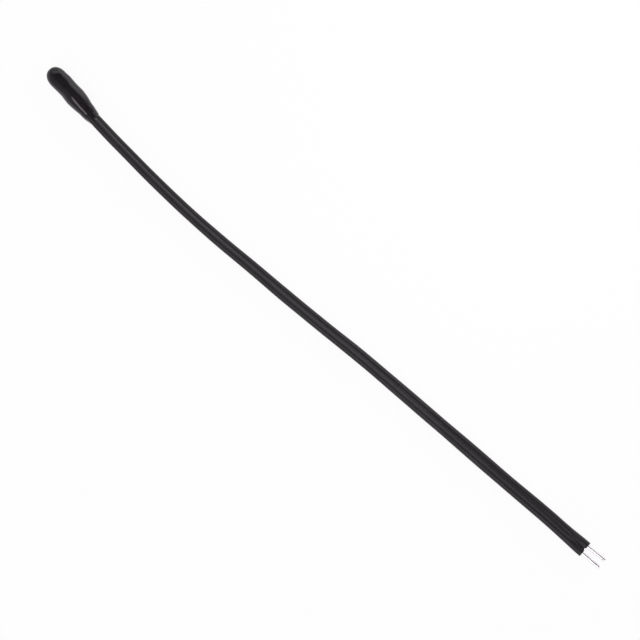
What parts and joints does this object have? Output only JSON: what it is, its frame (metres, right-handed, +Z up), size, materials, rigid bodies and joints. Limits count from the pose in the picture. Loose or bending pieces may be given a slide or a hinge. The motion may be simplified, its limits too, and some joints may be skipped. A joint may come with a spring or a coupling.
{
  "type": "bead thermistor",
  "caption": "Epoxy-dipped ceramic temperature sensing bead on a flexible flat twin lead that ends in bare tinned wires.",
  "frame": {"origin": "on the surface that the part lies on, straight below the middle of the bead", "axes": "+X runs along the bead from its nose to the lead, +Z is up, and +Y is the side that the lead curves towards"},
  "size_m": [0.0986, 0.0116, 0.0026],
  "materials": {
    "epoxy": "glossy dipped black epoxy",
    "pvc": "satin black flexible PVC",
    "tinned_copper": "bright tinned copper strands",
    "ceramic": "sawn dark grey oxide ceramic",
    "silver": "matt fired silver",
    "solder": "bright tin solder"
  },
  "bodies": {
    "root": {"epoxy_bead": "epoxy", "lead_insulation": "pvc", "conductor_a": "tinned_copper", "conductor_b": "tinned_copper", "thermistor_chip": "ceramic", "chip_electrode_a": "silver", "chip_electrode_b": "silver", "solder_joint_a": "solder", "solder_joint_b": "solder"}
  },
  "joints": []
}
